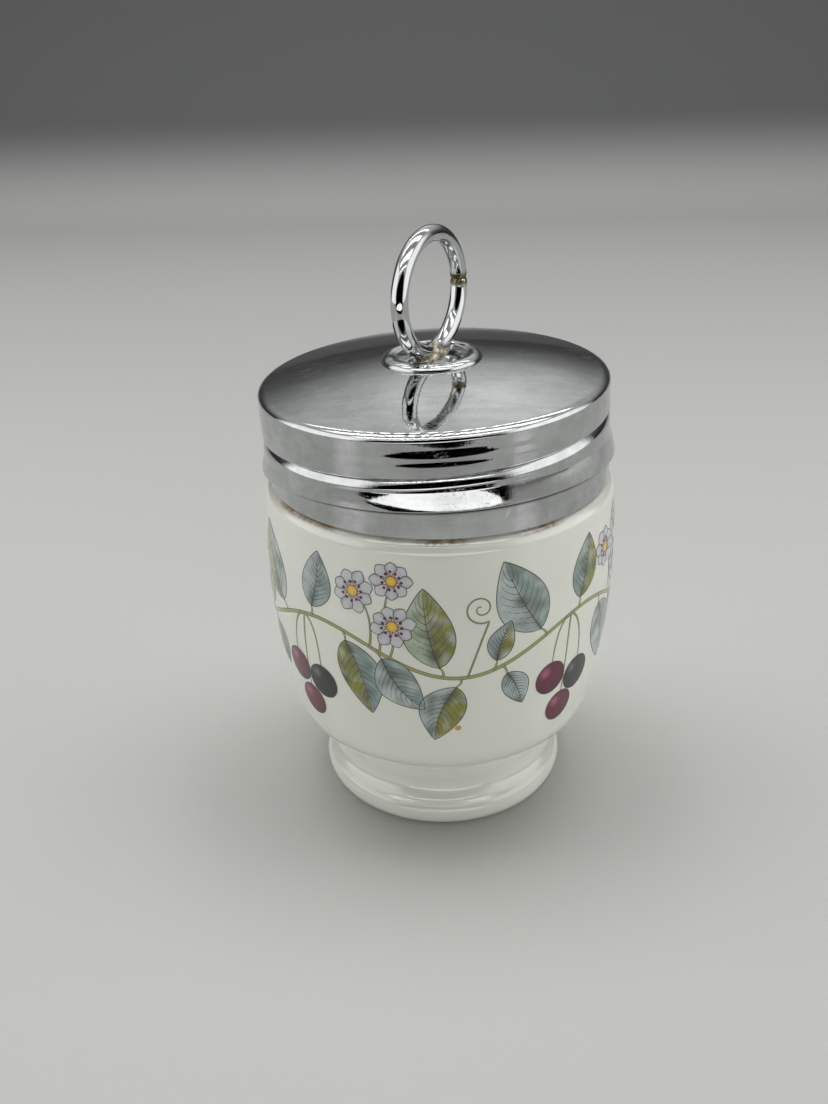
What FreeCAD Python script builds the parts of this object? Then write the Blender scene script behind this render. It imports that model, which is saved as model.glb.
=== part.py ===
import FreeCAD, Part
import math
import os

# Porcelain egg coddler: a glazed cup on a flared foot, closed by a pressed metal
# screw cap that carries an upright wire ring for lifting it out of hot water.
# Millimetres, +Z up. The origin is the centre of the foot's resting face, and
# the lifting ring stands in the XZ plane.

V = FreeCAD.Vector
up = V(0, 0, 1)

# Cup: the foot.
foot_radius = 27.3            # widest point of the flared foot
foot_widest_height = 2.6
foot_toe_tuck = 1.8           # from there in to the ring that touches the table
foot_rest_width = 2.9         # width of that ring
foot_shoulder_tuck = 0.8      # from the widest point in to where the flare starts
foot_shoulder_height = 5.2
foot_waist_tuck = 3.4         # from the widest point in to the thinnest, under the bowl
foot_waist_height = 10.6
foot_flare_depth = 0.97       # how hollow the flare between them is
recess_draft = 2.0            # how much the hollow under the foot narrows to its roof

# Cup: the bowl.
belly_swell = 3.95            # how far the fullest part of the bowl stands out past the neck
belly_height = 55.0
barrel_arc = 168.0            # upright curve of the bowl's side
heel_arc = 11.0               # turn from the side to the underside
heel_top_height = 25.0
underside_slope = 13.0        # degrees, where the heel meets the underside
bowl_wall = 3.5
shoulder_height = 73.6        # ledge that the cap comes down to
shoulder_round = 1.9

# Cup: the threaded neck.
neck_radius = 33.0
neck_wall = 3.0
neck_height = 17.3            # from the ledge up to the lip
lip_bevel = 0.8
bore_opening_drop = 13.0      # height over which the bore widens from the neck to the bowl

# Thread, right-hand, shared by the neck and the cap.
pitch = 6.0
thread_flank = 45.0           # degrees between a flank and the level
thread_room = 1.5             # between the neck and the inside of the cap's wall
thread_clearance = 0.25       # between the rib and the bead where they bear on each other
thread_fade = 40.0            # degrees over which each end runs out
thread_overrun = 1.1          # how far past its wall each end runs out, in heights of its crest
rib_clearance = 0.3           # between the crest of the neck's rib and the cap's wall
rib_crest = 1.2               # width of the rib's flat top
rib_root = 0.75               # how deep the rib's section is sunk in the neck
rib_start = -230.0            # degrees about +Z
rib_sweep = 400.0
bead_clearance = 0.6          # between the bead that the groove raises in the cap and the neck
groove_floor = 0.6            # width of the groove's flat bottom
groove_start = -190.0
groove_sweep = 520.0
groove_lift = 4.05            # groove's centre above the cap's edge where it starts

# Cap: pressed sheet.
cap_sheet = 0.5
cap_edge_clearance = 0.3      # cap's lower edge above the cup's ledge
cap_bend = 1.2                # outside radius where the wall turns into the dome
dome_rise = 3.4

# Seal between the lip and the inside of the cap.
seal_thickness = 1.6
seal_width = 3.4
seal_clearance = 0.15
seal_edge_gap = 0.9           # between the seal's rim and the cap's wall

# Lifting ring, its slotted plate and the solder that holds both.
ring_outer_diameter = 25.9
ring_wire = 3.4
plate_radius = 9.7
plate_height = 1.9
plate_edge_height = 0.35
plate_shoulder_radius = 5.8   # where the plate's crown turns down to its edge
plate_shoulder_drop = 0.45    # how far that lies below the crown
slot_clearance = 0.5          # between the wire and each side of the slot
solder_crown = 0.5            # how far the solder stands above the plate

# Places that follow from the sizes above.
lip_height = shoulder_height + neck_height
bore_radius = neck_radius - neck_wall
cap_edge_height = shoulder_height + cap_edge_clearance
belly_radius = neck_radius + belly_swell
cap_bore = neck_radius + thread_room
cap_radius = cap_bore + cap_sheet
rib_radius = cap_bore - rib_clearance
bead_radius = neck_radius + bead_clearance   # crest of the bead inside the groove
rib_height = rib_radius - neck_radius
groove_depth = cap_bore - bead_radius
flank_spread = math.tan(math.radians(thread_flank))
bead_crest = groove_floor + 2 * cap_sheet * math.tan(math.radians(thread_flank / 2))
ceiling_height = lip_height + seal_thickness + 2 * seal_clearance   # cap's inside at its wall


class Outline:
    """A profile in the XZ plane, drawn from lines and arcs as (radius, height) points."""

    def __init__(self, start):
        self.start = start
        self.point = start
        self.edges = []

    def line(self, to):
        self.edges.append(Part.makeLine(at(self.point), at(to)))
        self.point = to
        return self

    def arc(self, via, to):
        self.edges.append(Part.Arc(at(self.point), at(via), at(to)).toShape())
        self.point = to
        return self

    def turned(self):
        """The solid that the closed profile sweeps about the Z axis."""
        self.line(self.start)
        return Part.Face(Part.Wire(self.edges)).revolve(V(0, 0, 0), up, 360)


def at(point):
    """The place in the XZ plane of a (radius, height) point."""
    radius, height = point
    return V(radius, 0, height)


def on_arc(centre, radius, degrees):
    """The point on an arc at an angle measured up from the horizontal."""
    angle = math.radians(degrees)
    return (centre[0] + radius * math.cos(angle), centre[1] + radius * math.sin(angle))


def hollowed(start, end, depth):
    """The middle of an arc from start up to end that curves in towards the axis by the depth."""
    run, rise = end[0] - start[0], end[1] - start[1]
    chord = math.hypot(run, rise)
    return ((start[0] + end[0]) / 2 - depth * rise / chord,
            (start[1] + end[1]) / 2 + depth * run / chord)


def thread_section(crest_radius, crest_width, root_radius):
    """A flat-crested section with sloping flanks, in the XZ plane at height zero."""
    root_width = crest_width + 2 * abs(root_radius - crest_radius) * flank_spread
    return Part.makePolygon([
        V(crest_radius, 0, -crest_width / 2), V(root_radius, 0, -root_width / 2),
        V(root_radius, 0, root_width / 2), V(crest_radius, 0, crest_width / 2),
        V(crest_radius, 0, -crest_width / 2)])


def swept(section, climb, radius, cone):
    """The section carried along a right-hand helix that widens by the cone's angle."""
    path = Part.Wire(Part.makeHelix(pitch, climb, radius, cone))
    return path.makePipeShell([section], True, True)


def thread(section, radius, fade_out, start, sweep, start_height):
    """A right-hand thread whose two ends run out as its radius changes by fade_out."""
    climb = pitch * sweep / 360
    fade_climb = pitch * thread_fade / 360
    cone = math.degrees(math.atan2(fade_out, fade_climb))
    run = swept(section, climb, radius, 0)
    nose = swept(section, fade_climb, radius, cone)
    tail = nose.copy()
    tail.rotate(V(0, 0, 0), V(1, 0, 0), 180)
    nose.rotate(V(0, 0, 0), up, sweep)
    nose.translate(V(0, 0, climb))
    whole = run.fuse([tail, nose])
    whole.rotate(V(0, 0, 0), up, start)
    whole.translate(V(0, 0, start_height))
    return whole


def heel_centre():
    """Centre of the heel's arc, which runs smoothly into the barrel's arc."""
    barrel_centre = (belly_radius - barrel_arc, belly_height)
    fall = math.degrees(math.asin((belly_height - heel_top_height) / barrel_arc))
    return on_arc(barrel_centre, barrel_arc - heel_arc, -fall), fall


def bowl_side(inset, top_height):
    """The bowl's side as seen from its top down: barrel arc, heel arc and shallow underside.

    Returns the points that the outline runs through, moved inwards by the inset.
    """
    barrel_centre = (belly_radius - barrel_arc, belly_height)
    barrel = barrel_arc - inset
    rise = math.degrees(math.asin((top_height - belly_height) / barrel))
    heel, fall = heel_centre()
    turn_end = underside_slope - 90
    return {
        "top": on_arc(barrel_centre, barrel, rise),
        "side": on_arc(barrel_centre, barrel, (rise - fall) / 2),
        "heel_top": on_arc(barrel_centre, barrel, -fall),
        "heel": on_arc(heel, heel_arc - inset, (turn_end - fall) / 2),
        "heel_end": on_arc(heel, heel_arc - inset, turn_end),
    }


def cup_body():
    """The turned cup without its thread: foot, bowl, ledge and neck, hollowed by its bore."""
    side = bowl_side(0, shoulder_height - shoulder_round)
    rest_outer = foot_radius - foot_toe_tuck
    rest_inner = rest_outer - foot_rest_width
    foot_shoulder = (foot_radius - foot_shoulder_tuck, foot_shoulder_height)
    waist = (foot_radius - foot_waist_tuck, foot_waist_height)
    fall_in = side["heel_end"][0] - waist[0]
    drop = fall_in * math.tan(math.radians(underside_slope))
    crease = (waist[0], side["heel_end"][1] - drop)
    ledge_outer = (side["top"][0] - shoulder_round, shoulder_height)
    shoulder_centre = (ledge_outer[0], shoulder_height - shoulder_round)

    inner = bowl_side(bowl_wall, shoulder_height - bore_opening_drop)
    floor = inner["heel_end"][1]
    outside = Outline((0, floor - bowl_wall))
    outside.line((rest_inner - recess_draft, floor - bowl_wall))
    outside.line((rest_inner, 0))
    outside.line((rest_outer, 0))
    outside.arc((foot_radius, foot_widest_height), foot_shoulder)
    outside.arc(hollowed(foot_shoulder, waist, foot_flare_depth), waist)
    outside.line(crease)
    outside.line(side["heel_end"])
    outside.arc(side["heel"], side["heel_top"])
    outside.arc(side["side"], side["top"])
    outside.arc(on_arc(shoulder_centre, shoulder_round, 45), ledge_outer)
    outside.line((neck_radius, shoulder_height))
    outside.line((neck_radius, lip_height - lip_bevel))
    outside.line((neck_radius - lip_bevel, lip_height))
    outside.line((0, lip_height))

    bore = Outline((0, floor))
    bore.line(inner["heel_end"])
    bore.arc(inner["heel"], inner["heel_top"])
    bore.line(inner["top"])
    bore.line((bore_radius, shoulder_height))
    bore.line((bore_radius, lip_height - lip_bevel))
    bore.line((bore_radius + lip_bevel, lip_height))
    bore.line((0, lip_height))
    return outside.turned().cut(bore.turned())


def groove_start_height():
    return cap_edge_height + groove_lift


def rib_lift():
    """How far the neck's rib lies above the cap's bead, so that they bear with a clearance."""
    engaged = rib_radius - bead_radius
    clear = thread_clearance / math.cos(math.radians(thread_flank))
    return (bead_crest + rib_crest) / 2 + engaged * flank_spread + clear


def cup():
    """The cup with the thread's rib moulded round its neck."""
    turned_by = rib_start - groove_start
    start_height = groove_start_height() + pitch * turned_by / 360 + rib_lift()
    section = thread_section(rib_radius, rib_crest, neck_radius - rib_root)
    fade_in = -thread_overrun * rib_height
    rib = thread(section, rib_radius, fade_in, rib_start, rib_sweep, start_height)
    return cup_body().fuse(rib)


def bend_centre():
    """Centre of the bend between the cap's wall and its dome, as (radius, height)."""
    return (cap_radius - cap_bend, ceiling_height - cap_bend + cap_sheet)


def dome_sphere():
    """Radius of the sphere that the dome is part of, and the height of its centre."""
    across, height = bend_centre()
    sphere = (across * across + dome_rise * dome_rise) / (2 * dome_rise)
    return sphere, height - math.sqrt((sphere - cap_bend) ** 2 - across ** 2)


def dome_height(radius):
    """Height of the cap's outside at a radius."""
    sphere, centre = dome_sphere()
    return centre + math.sqrt(sphere * sphere - radius * radius)


def dome_top():
    return dome_height(0)


def cap_form(inset, edge_height):
    """The cap as a full solid, moved inwards by the inset and cut off at the edge's height."""
    sphere, centre = dome_sphere()
    bend = bend_centre()
    tilt = math.degrees(math.atan2(bend[1] - centre, bend[0]))
    form = Outline((0, edge_height))
    form.line((cap_radius - inset, edge_height))
    form.line((cap_radius - inset, bend[1]))
    form.arc(on_arc(bend, cap_bend - inset, tilt / 2), on_arc(bend, cap_bend - inset, tilt))
    form.arc(on_arc((0, centre), sphere - inset, (tilt + 90) / 2), (0, centre + sphere - inset))
    return form.turned()


def lid_cap():
    """The pressed cap: a thin shell with a thread groove rolled in from the outside."""
    outside = cap_form(0, cap_edge_height)
    inside = cap_form(cap_sheet, cap_edge_height - cap_sheet)
    place = (groove_start, groove_sweep, groove_start_height())
    fade_out = thread_overrun * groove_depth
    bead_section = thread_section(bead_radius, bead_crest, cap_radius)
    bead = thread(bead_section, bead_radius, fade_out, *place)
    groove_floor_radius = cap_radius - groove_depth
    groove_section = thread_section(groove_floor_radius, groove_floor, cap_radius + groove_depth)
    groove = thread(groove_section, groove_floor_radius, fade_out, *place)
    shell = outside.cut(inside.cut(bead))
    return shell.cut(groove)


def lid_seal():
    """The flat sealing ring that the cap presses on the cup's lip."""
    outer = cap_bore - seal_edge_gap
    bottom = V(0, 0, lip_height + seal_clearance)
    seal = Part.makeCylinder(outer, seal_thickness, bottom)
    return seal.cut(Part.makeCylinder(outer - seal_width, seal_thickness, bottom))


def ring_centre_height():
    """The ring's centre, with the foot of its wire on the top of the cap."""
    return dome_top() + ring_outer_diameter / 2


def lifting_ring():
    """The upright wire ring, in the XZ plane."""
    radius = (ring_outer_diameter - ring_wire) / 2
    return Part.makeTorus(radius, ring_wire / 2, V(0, 0, ring_centre_height()), V(0, 1, 0))


def plate_blank():
    """The plate before its slot is cut: a low domed button that sits on the cap."""
    edge = (plate_radius, dome_height(plate_radius) + plate_edge_height)
    crown = (0, dome_top() + plate_height)
    shoulder = (plate_shoulder_radius, crown[1] - plate_shoulder_drop)
    button = Outline((0, dome_top() - plate_height))
    button.line((plate_radius, dome_top() - plate_height))
    button.line(edge)
    button.arc(shoulder, crown)
    blank = button.turned()
    return blank.cut(cap_form(0, cap_edge_height))


def slot_form():
    """The round-ended slot along the ring's plane, as long as the wire's bed in the plate."""
    outer = ring_outer_diameter / 2
    depth = plate_height + solder_crown
    reach = math.sqrt(outer ** 2 - (outer - depth) ** 2)
    half_width = ring_wire / 2 + slot_clearance
    straight = reach - half_width
    base = dome_top() - plate_height
    tall = 2 * plate_height + depth
    slot = Part.makeBox(2 * straight, 2 * half_width, tall, V(-straight, -half_width, base))
    ends = [Part.makeCylinder(half_width, tall, V(x, 0, base)) for x in (-straight, straight)]
    return slot.fuse(ends).removeSplitter()


def ring_plate():
    return plate_blank().cut(slot_form())


def ring_solder():
    """The solder that fills the slot round the foot of the ring, a little proud of the plate."""
    filling = plate_blank()
    filling.translate(V(0, 0, solder_crown))
    filling = filling.common(slot_form())
    filling = filling.cut(cap_form(0, cap_edge_height))
    return filling.cut(lifting_ring())


def main():
    os.makedirs("parts", exist_ok=True)
    pieces = {
        "cup": cup(),
        "lid_seal": lid_seal(),
        "lid_cap": lid_cap(),
        "ring_plate": ring_plate(),
        "ring_solder": ring_solder(),
        "lifting_ring": lifting_ring(),
    }
    for node, shape in pieces.items():
        shape.exportStep("parts/" + node + ".step")
        box = shape.BoundBox
        print(node, "solids", len(shape.Solids), "valid", shape.isValid(),
              "volume", round(shape.Volume, 1), "heights", round(box.ZMin, 2), round(box.ZMax, 2))


main()
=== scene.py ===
"""The looks of a porcelain egg coddler: a glazed cup with a printed garland, closed by a
chromed screw cap with an upright lifting ring. Shapes are in millimetres, turned into
Blender's metres where a mesh is made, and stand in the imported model's frame."""
import random
from math import (acos, asin, atan, atan2, copysign, cos, degrees, exp, hypot, pi, radians, sin,
                  sqrt, tan)

import bpy
import numpy as np
from mathutils import Matrix, Vector, noise


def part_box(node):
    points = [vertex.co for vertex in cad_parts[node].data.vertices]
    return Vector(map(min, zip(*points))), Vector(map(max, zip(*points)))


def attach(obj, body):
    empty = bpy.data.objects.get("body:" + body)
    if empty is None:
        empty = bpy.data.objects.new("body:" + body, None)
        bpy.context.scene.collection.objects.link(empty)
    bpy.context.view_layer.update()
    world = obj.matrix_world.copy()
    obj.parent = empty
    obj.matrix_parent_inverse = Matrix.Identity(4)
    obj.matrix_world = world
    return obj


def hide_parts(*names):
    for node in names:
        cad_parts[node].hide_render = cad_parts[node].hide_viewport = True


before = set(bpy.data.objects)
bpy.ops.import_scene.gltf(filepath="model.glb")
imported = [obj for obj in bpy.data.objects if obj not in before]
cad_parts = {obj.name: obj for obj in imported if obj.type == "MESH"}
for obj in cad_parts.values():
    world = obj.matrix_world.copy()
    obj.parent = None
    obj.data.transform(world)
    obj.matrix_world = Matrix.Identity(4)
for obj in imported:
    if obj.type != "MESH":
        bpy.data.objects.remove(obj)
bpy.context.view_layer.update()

MM = 0.001  # metres in a millimetre

# Sizes that the frame gives.
cup_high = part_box("cup")[1] / MM
cap_low, cap_high = (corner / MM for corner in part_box("lid_cap"))
ring_low, ring_high = (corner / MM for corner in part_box("lifting_ring"))
belly_radius = cup_high.x
lip_height = cup_high.z
cap_radius = cap_high.x
cap_foot = cap_low.z
dome_top = cap_high.z
ring_wire = ring_high.y - ring_low.y
ring_radius = (ring_high.x - ring_low.x - ring_wire) / 2
ring_centre_height = (ring_high.z + ring_low.z) / 2
plate_radius = (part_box("ring_plate")[1] / MM).x

# Cup.
foot_radius = 27.3
foot_widest_height = 2.6
foot_toe_tuck = 1.8
foot_rest_width = 2.9
foot_shoulder_tuck = 0.8
foot_shoulder_height = 5.2
foot_waist_tuck = 3.4
foot_waist_height = 10.6
foot_flare_depth = 0.97
recess_draft = 2.0
belly_height = 55.0
barrel_arc = 168.0
heel_arc = 11.0
heel_top_height = 25.0
underside_slope = 13.0
bowl_wall = 3.5
shoulder_height = 73.6
shoulder_round = 2.7
neck_radius = 33.0
neck_wall = 3.0
lip_bevel = 0.8
bore_opening_drop = 13.0

# Thread, right-hand: a rib on the neck, and a groove rolled into the cap.
pitch = 6.0
thread_fade = 36.0  # degrees over which each end runs out
rib_height = 1.2
rib_half_crest = 0.5
rib_half_root = 1.9
rib_start = -230.0
rib_sweep = 400.0
rib_start_height = 79.34
groove_depth = 0.95
groove_half_floor = 0.05
groove_half_mouth = 0.5  # above its middle, where the groove has a sharp lip
groove_run = 1.9  # below it, where the wall comes out in a rounded shoulder
groove_run_power = 1.9
groove_start = -190.0
groove_sweep = 520.0
groove_deepens = (120, 300)  # degrees along it between which it reaches its full depth
groove_start_height = cap_foot + 4.5

# Cap.
cap_sheet = 0.5
rim_width = 2.5  # the rim's turn is a quarter of an ellipse
rim_drop = 1.5
dome_rise = 3.4
dome_edge = dome_top - dome_rise
dome_across = cap_radius - 0.6 * rim_width  # from the axis to its edge
dome_radius = (dome_across ** 2 + dome_rise ** 2) / (2 * dome_rise)
dome_tilt = degrees(acos(dome_across / dome_radius))
band_swell = 0.2  # how far the lower band curves out above its step
band_height = 3.4  # height over which it does so
band_curve = 1.6  # power of that curve; more holds the swell further up
band_taper = 0.085  # and its slope, all the way up to the groove
band_top = 83.1
band_climb = 0.95  # the rise of its top from the camera's side to the right of it
step_level = 79.1
step_height = 0.4  # height over which the band drops to the skirt
crease_shade_height = 0.27  # of the painted shade in the corner under the band
crease_shade_drop = 0.85 * step_height
skirt_tuck = 0.15  # how far the skirt lies inside the upper band
# Where the band is pushed out and its step is lower: azimuth off the camera's side, swell, drop.
squeezed_sides = ((-90, 0.55, 3.0), (90, 0.3, 1.0))
squeeze_spread = 35.0
upper_band_bulge = 0.06
upper_band_middle = 86.5
upper_band_reach = 4.0
ripple = 0.01  # faint rings left by spinning
ripple_length = 1.94
ripple_crest = 87.24
ripple_middle = 88.4
ripple_spread = 1.6
wall_waves = 0.02  # of the drawn sheet, all over the wall
dent_depth = 0.9  # of the knocks in the skirt
dent_size = 1.7
dents_azimuth = 48  # most of them are here
dents_spread = 24
lid_cant = radians(2.0)  # how far the lid leans, to the left as the camera sees it
lid_slide = 0.3  # its play on the thread, also to the left
lid_lift = 0.5
cant_height = 9.0  # height over which the leaning sets in

# Ring, the button that it stands in, and the solder.
ring_lean = radians(1.7)  # how far the ring leans the other way on the lid
ring_waviness = 0.05
joint_angle = radians(4.5)  # where the wire's two ends butt together
joint_depth = 0.22
joint_width = 0.35
plate_reach = plate_radius + 0.4
plate_lip = 1.15  # height of the rounded lip round the plate
plate_lip_width = 1.5
plate_dish_width = 1.8  # inside the lip, over which the plate dips
plate_dip = 0.5
plate_waviness = 0.06
plate_overlap = 0.1  # its underside, below the dome's top
bed_half_length = 5.3  # the wire's bed in the plate
bed_depth = 0.8
solder_half_length = 6.0
solder_half_width = 2.9
solder_edge_rise = 0.9
solder_middle_rise = 1.8
solder_middle_width = 2.7

# The camera: where the photograph was taken from.
camera_azimuth = radians(-149.5)
camera_distance = 203.57
camera_height = 157.68
aim_height = 53.52
aim_shift = 5.66  # sideways, to the right of the axis
camera_roll = radians(-1.54)
camera_lens = 34.21
camera_sensor = 36.0
camera_side = Vector((cos(camera_azimuth), sin(camera_azimuth), 0))
camera_right = Vector((-camera_side.y, camera_side.x, 0))

# Glaze: its tones, the stains on the ledge as (azimuth, reach), the levels and radii between which
# they fade, and a speck low on the bowl.
glaze_light = (0.8, 0.808, 0.728)
glaze_dark = (0.772, 0.779, 0.7)
stains = ((-52, 4.5), (-42, 3.0), (1, 2.5), (34, 1.5))
stain_softness = 4.0
stain_strength = 0.85
stain_brown = (0.26, 0.15, 0.045)
stain_levels = [shoulder_height + level for level in (-2.6, -1.8, 0.2, 0.8)]
stain_edge = (cap_radius + 0.05, cap_radius + 0.65)
ledge_radius = 35.2
speck = (5, 35.4, 32.5)
speck_tan = (0.5, 0.3, 0.09)

# Metal and rubber. A haze is the roughness where the plating is bright and where it is worn.
plating = (0.48, 0.49, 0.497)
plating_haze = (0.04, 0.13)
cap_haze = (0.04, 0.247)
wall_calm = 0.35  # share of the plating's bump that the cap's wall keeps
streak_strength = 0.7
wiped_grey = (0.6, 0.6, 0.59)
speck_grey = (0.12, 0.12, 0.12)
# the tone of the painted shade in the corner under the cap's band
crease_shade_grey = (0.035, 0.035, 0.032)
# Places on the dome as azimuth, radius, reach and softness.
wiped_spot = (46, 22, 2, 10)
pitted_spots = ((-34, 24, 3, 8), (8, 24, 2, 7))
burnt_black = (0.02, 0.018, 0.012)
burnt_brown = (0.2, 0.17, 0.07)
burnt_roughness = 0.6
solder_dark = (0.17, 0.14, 0.09)
solder_light = (0.48, 0.45, 0.38)
rubber_dark = (0.5, 0.49, 0.45)
rubber_light = (0.58, 0.57, 0.53)

# Printed garland: its place, the growth on one repeat of its stem, and its inks.
garland_start = camera_azimuth - radians(62)
garland_middle = 49.5
sprig_count = 4
sprig_length = 2 * pi * belly_radius / sprig_count
stem_wave = 4.5
print_lift = 0.015
layer_lift = 0.004
# Each leaf: where it leaves the stem, its heading in degrees, its length, width and bend.
sprig_leaves = ((3, 118, 17.0, 10.2, 0.1), (12, 80, 12.5, 8.0, -0.1), (20, -75, 16.5, 10.0, 0.12),
                (27, -50, 13.5, 8.4, -0.12), (40, 95, 16.5, 9.8, 0.08),
                (43.5, -105, 15.0, 9.2, -0.1), (52, -62, 9.5, 6.0, 0.1), (50, 72, 8.5, 5.4, 0.1))
leaf_stalk = 2.2
# Each blossom: where its stalk leaves the stem, its middle and its radius.
sprig_blossoms = ((26, (22.8, 62.3), 4.4), (28, (31.0, 65.2), 4.1), (30, (30.4, 56.0), 4.5))
# Each cherry: where its stalk leaves the stem, its middle, its radius, and 1 if it is a dark one.
sprig_cherries = ((9, (5.8, 39.6), 3.8, 0), (10, (13.6, 38.2), 3.9, 1), (10, (8.9, 31.6), 3.7, 0))
ink = (0.07, 0.045, 0.038)
stem_green = (0.34, 0.36, 0.13)
leaf_grey = (0.42, 0.48, 0.48)
leaf_light = (0.36, 0.42, 0.29)
leaf_teal = (0.24, 0.32, 0.3)
leaf_olive = (0.24, 0.24, 0.035)
leaf_dark = (0.05, 0.08, 0.045)
leaf_gleam = (0.62, 0.67, 0.66)
leaf_tones = ((leaf_grey, leaf_olive), (leaf_teal, leaf_grey), (leaf_olive, leaf_teal),
              (leaf_grey, leaf_teal), (leaf_olive, leaf_light))  # of the two halves
petal_white = (0.68, 0.69, 0.7)
petal_grey = (0.36, 0.37, 0.42)
yellow = (0.85, 0.6, 0.05)
orange = (0.62, 0.3, 0.1)
crimson = (0.125, 0.006, 0.034)
# Each kind of cherry and its glint: red ones, dark ones.
cherry_tones = ((crimson, (0.4, 0.1, 0.2)), ((0.012, 0.012, 0.013), (0.13, 0.13, 0.15)))
cherry_shadow = (0.01, 0.006, 0.01)
cherry_lit = Vector((-0.42, 0.45))
fine_line = 0.15  # widths of the inked lines
edge_line = 0.17
middle_line = 0.26

# The room: its brightness by elevation, and that of the patch by the angle from its middle.
room_levels = ((5, 0.06), (12, 0.08), (16, 0.13), (24, 0.36), (32, 0.57), (45, 0.62), (90, 0.62))
room_fill = 0.08  # the share of the room's light that matt surfaces take
glow_azimuth = 4
glow_elevation = 32
glow_levels = ((22, 0.0), (15, 0.1), (8, 0.34), (0, 0.4))
# The floor's tone near the object, and painted shade: a darker tone towards the back, where the
# light falls off.
floor_near = (0.468, 0.473, 0.45)
floor_painted_darker = (0.425, 0.425, 0.418)
wall_grey = (0.12, 0.122, 0.122)


# ---- mesh tools

def off(centre, distance, angle):
    """The point at a distance from another, in a direction in radians."""
    return (centre[0] + distance * cos(angle), centre[1] + distance * sin(angle))


def circle(centre, radius, sides):
    """Points round a circle, the first one again at the end."""
    return [off(centre, radius, 2 * pi * k / sides) for k in range(sides + 1)]


def on_arc(centre, radius, slope):
    """The point on an arc at an angle measured up from the horizontal, in degrees."""
    return off(centre, radius, radians(slope))


def smooth(value, low, high):
    """0 below low, 1 above high, and a smooth S between."""
    t = min(1.0, max(0.0, (value - low) / (high - low)))
    return t * t * t * (t * (6 * t - 15) + 10)


def lumps(x, y, z, size=1.0):
    """Smooth noise at a place, from -1 to 1."""
    return noise.noise(Vector((x, y, z)) / size)


def cushion(level, floor_width, floor_rows, width, rows):
    """A flat profile with a top that is raised later; its rows close up towards its edge."""
    p = Profile((0, level))
    p.line((floor_width, level), floor_rows)
    for i in range(1, rows + 1):
        p.line((width * cos(pi / 2 * i / rows), level), tag="top")
    return p.points


class Profile:
    """A line of (radius, height, tag) points made from lines and arcs."""

    def __init__(self, start):
        self.points = [(*start, "")]
        self.rounds = {}

    def line(self, to, rows=1, tag="", rounding=0.0):
        """A straight run; the corner where it starts is rounded with a radius."""
        if rounding:
            self.rounds[len(self.points) - 1] = rounding
        r0, z0 = self.points[-1][:2]
        for i in range(1, rows + 1):
            t = i / rows
            self.points.append((r0 + (to[0] - r0) * t, z0 + (to[1] - z0) * t, tag))

    def arc(self, via, to, rows):
        """A run along the arc that goes through one point to another."""
        a, b, c = complex(*self.points[-1][:2]), complex(*via), complex(*to)
        w = (c - a) / (b - a)
        centre = (b - a) * (w - abs(w) ** 2) / (2j * w.imag) + a
        start, middle, end = (np.angle(p - centre) for p in (a, b, c))
        turn = (end - start) % (2 * pi)
        if (middle - start) % (2 * pi) > turn:
            turn -= 2 * pi
        for i in range(1, rows + 1):
            p = centre + (a - centre) * np.exp(1j * turn * i / rows)
            self.points.append((p.real, p.imag, ""))

    def finished(self, rows=5):
        """The points with each marked corner rounded off."""
        out = []
        for i, point in enumerate(self.points):
            if i not in self.rounds:
                out.append(point)
                continue
            here = Vector(point[:2])
            back = Vector(self.points[i - 1][:2]) - here
            ahead = Vector(self.points[i + 1][:2]) - here
            half_turn = (pi - back.angle(ahead)) / 2
            room = 0.45 * min(back.length, ahead.length)
            reach = min(self.rounds[i] * tan(half_turn), room)
            start, end = here + back.normalized() * reach, here + ahead.normalized() * reach
            for k in range(rows + 1):
                t = k / rows
                p = start * (1 - t) ** 2 + here * 2 * t * (1 - t) + end * t * t
                out.append((p.x, p.y, point[2]))
        return out


def turned(profile, columns, move):
    """A closed surface turned from a profile that starts and ends on the axis. The move takes an
    angle and the profile's (radius, height, tag) and gives the radius and height to use."""
    points, faces, rows = [], [], []
    for r, z, tag in profile:
        if r < 1e-6:
            rows.append([len(points)] * columns)
            points.append((0, 0, z))
            continue
        rows.append(list(range(len(points), len(points) + columns)))
        for i in range(columns):
            angle = 2 * pi * i / columns
            here, height = move(angle, r, z, tag)
            points.append((here * cos(angle), here * sin(angle), height))
    for low, high in zip(rows, rows[1:]):
        for i in range(columns):
            j = (i + 1) % columns
            face = list(dict.fromkeys((low[i], low[j], high[j], high[i])))
            if len(face) > 2:
                faces.append(face)
    return points, faces


def add_mesh(name, points, faces, material):
    """A smooth mesh object from points in metres."""
    mesh = bpy.data.meshes.new(name)
    mesh.from_pydata(points, [], faces)
    mesh.polygons.foreach_set("use_smooth", [True] * len(mesh.polygons))
    mesh.materials.append(material)
    mesh.update()
    return add_object(name, mesh)


def add_object(name, data):
    thing = bpy.data.objects.new(name, data)
    bpy.context.scene.collection.objects.link(thing)
    return thing


def make_piece(name, points, faces, body, material, replaces=()):
    """A mesh piece from points in millimetres, riding on a body."""
    piece = add_mesh(name, [(x * MM, y * MM, z * MM) for x, y, z in points], faces, material)
    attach(piece, body)
    if replaces:
        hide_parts(*replaces)
    return piece


def paint(piece, layer, colours):
    """Stores a colour for each point, which the piece's material reads."""
    attribute = piece.data.color_attributes.new(layer, "FLOAT_COLOR", "POINT")
    attribute.data.foreach_set("color", [c for colour in colours for c in (*colour, 1.0)])


# ---- materials

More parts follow.
